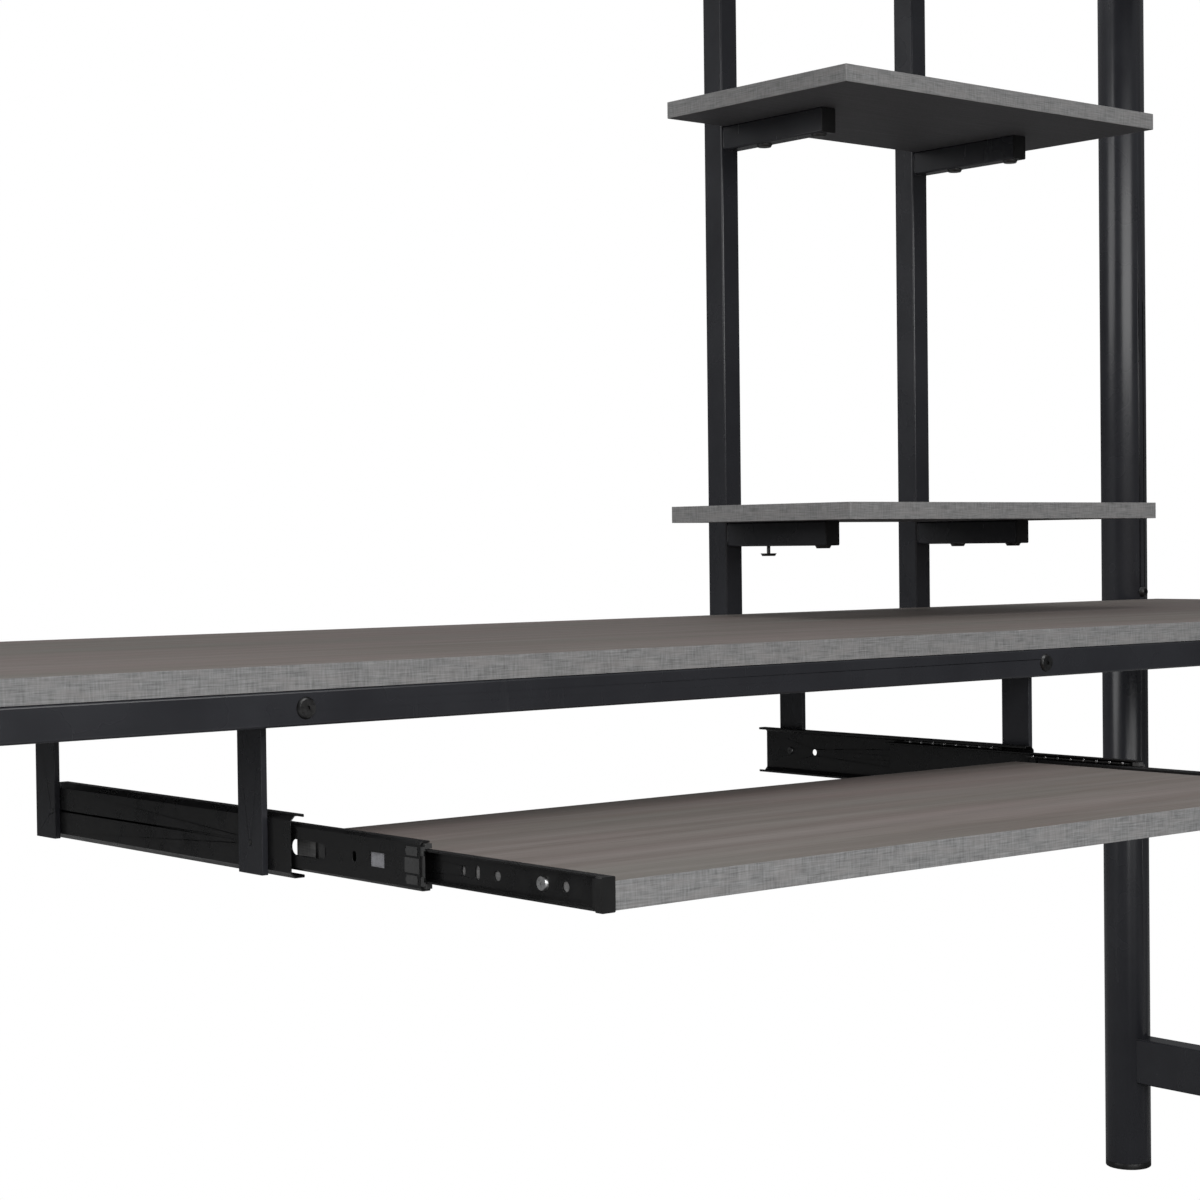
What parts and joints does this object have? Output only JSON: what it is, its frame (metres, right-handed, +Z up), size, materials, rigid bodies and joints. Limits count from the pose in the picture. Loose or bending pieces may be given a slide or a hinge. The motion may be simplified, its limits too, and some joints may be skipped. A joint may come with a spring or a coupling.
{
  "type": "computer desk with keyboard tray",
  "caption": "Computer desk on a round-tube frame, with a pull-out keyboard tray on ball-bearing slides and open shelves on posts behind the desktop.",
  "frame": {"origin": "on the floor, under the middle of the object's bounding box with the tray pulled out", "axes": "+X along the desk to the sitter's right, +Y from the sitter to the back, +Z up"},
  "size_m": [2.032, 0.984, 1.65],
  "materials": {
    "laminate": "brown-grey wood laminate, satin",
    "edge_band": "light grey brushed edge band",
    "frame_paint": "charcoal powder coat, satin",
    "slide_steel": "black electro-coated steel",
    "cage_plastic": "black moulded nylon",
    "ball_steel": "polished bearing steel with grease",
    "cap_plastic": "black moulded plastic",
    "black_bolt": "black oxide steel",
    "zinc_screw": "bright zinc plate",
    "sleeve_steel": "bare steel"
  },
  "bodies": {
    "desk": {"arm_end_caps": "cap_plastic", "crossbar_bolts": "black_bolt", "desktop": "laminate", "desktop_edge_band": "edge_band", "desktop_screws": "black_bolt", "foot_caps": "cap_plastic", "front_rail": "frame_paint", "joint_sleeves": "sleeve_steel", "left_cross_tube": "frame_paint", "left_drop_bars": "frame_paint", "left_end_rail": "frame_paint", "left_front_leg": "frame_paint", "left_outer_channel": "slide_steel", "left_rear_leg": "frame_paint", "left_shelf_post": "frame_paint", "left_side_crossbar": "frame_paint", "left_upright": "frame_paint", "lower_left_shelf_arm": "frame_paint", "lower_right_shelf_arm": "frame_paint", "lower_shelf": "laminate", "lower_shelf_edge_band": "edge_band", "rail_bolts": "black_bolt", "rail_end_caps": "cap_plastic", "rear_rail": "frame_paint", "right_cross_tube": "frame_paint", "right_drop_bars": "frame_paint", "right_end_rail": "frame_paint", "right_front_leg": "frame_paint", "right_outer_channel": "slide_steel", "right_rear_leg": "frame_paint", "right_shelf_post": "frame_paint", "right_side_crossbar": "frame_paint", "right_upright": "frame_paint", "shelf_screws": "black_bolt", "slide_screws": "black_bolt", "top_beam": "frame_paint", "top_shelf": "laminate", "top_shelf_arms": "frame_paint", "top_shelf_edge_band": "edge_band", "upper_left_shelf_arm": "frame_paint", "upper_right_shelf_arm": "frame_paint", "upper_shelf": "laminate", "upper_shelf_edge_band": "edge_band", "upright_joint_bolts": "black_bolt"},
    "tray": {"keyboard_tray": "laminate", "keyboard_tray_edge_band": "edge_band", "left_inner_member": "slide_steel", "right_inner_member": "slide_steel", "slide_bumpers": "cap_plastic", "tray_screws": "zinc_screw"},
    "left_middle": {"left_middle_member": "slide_steel"},
    "left_outer_ball_cage": {"left_outer_cage": "cage_plastic", "left_outer_balls": "ball_steel"},
    "left_inner_ball_cage": {"left_inner_cage": "cage_plastic", "left_inner_balls": "ball_steel"},
    "right_middle": {"right_middle_member": "slide_steel"},
    "right_outer_ball_cage": {"right_outer_cage": "cage_plastic", "right_outer_balls": "ball_steel"},
    "right_inner_ball_cage": {"right_inner_cage": "cage_plastic", "right_inner_balls": "ball_steel"}
  },
  "joints": [
    {"name": "tray_slide", "type": "slide", "parent": "desk", "child": "tray", "axis": [0, -1, 0], "range_m": [-0.35, 0]},
    {"name": "left_middle_slide", "type": "slide", "parent": "desk", "child": "left_middle", "axis": [0, -1, 0], "range_m": [-0.175, 0]},
    {"name": "left_outer_ball_cage_slide", "type": "slide", "parent": "desk", "child": "left_outer_ball_cage", "axis": [0, -1, 0], "range_m": [-0.0875, 0]},
    {"name": "left_inner_ball_cage_slide", "type": "slide", "parent": "desk", "child": "left_inner_ball_cage", "axis": [0, -1, 0], "range_m": [-0.2625, 0]},
    {"name": "right_middle_slide", "type": "slide", "parent": "desk", "child": "right_middle", "axis": [0, -1, 0], "range_m": [-0.175, 0]},
    {"name": "right_outer_ball_cage_slide", "type": "slide", "parent": "desk", "child": "right_outer_ball_cage", "axis": [0, -1, 0], "range_m": [-0.0875, 0]},
    {"name": "right_inner_ball_cage_slide", "type": "slide", "parent": "desk", "child": "right_inner_ball_cage", "axis": [0, -1, 0], "range_m": [-0.2625, 0]}
  ],
  "couplings": [
    {"joint": "left_middle_slide", "follows": "tray_slide", "ratio": 0.5},
    {"joint": "left_outer_ball_cage_slide", "follows": "tray_slide", "ratio": 0.25},
    {"joint": "left_inner_ball_cage_slide", "follows": "tray_slide", "ratio": 0.75},
    {"joint": "right_middle_slide", "follows": "tray_slide", "ratio": 0.5},
    {"joint": "right_outer_ball_cage_slide", "follows": "tray_slide", "ratio": 0.25},
    {"joint": "right_inner_ball_cage_slide", "follows": "tray_slide", "ratio": 0.75}
  ]
}
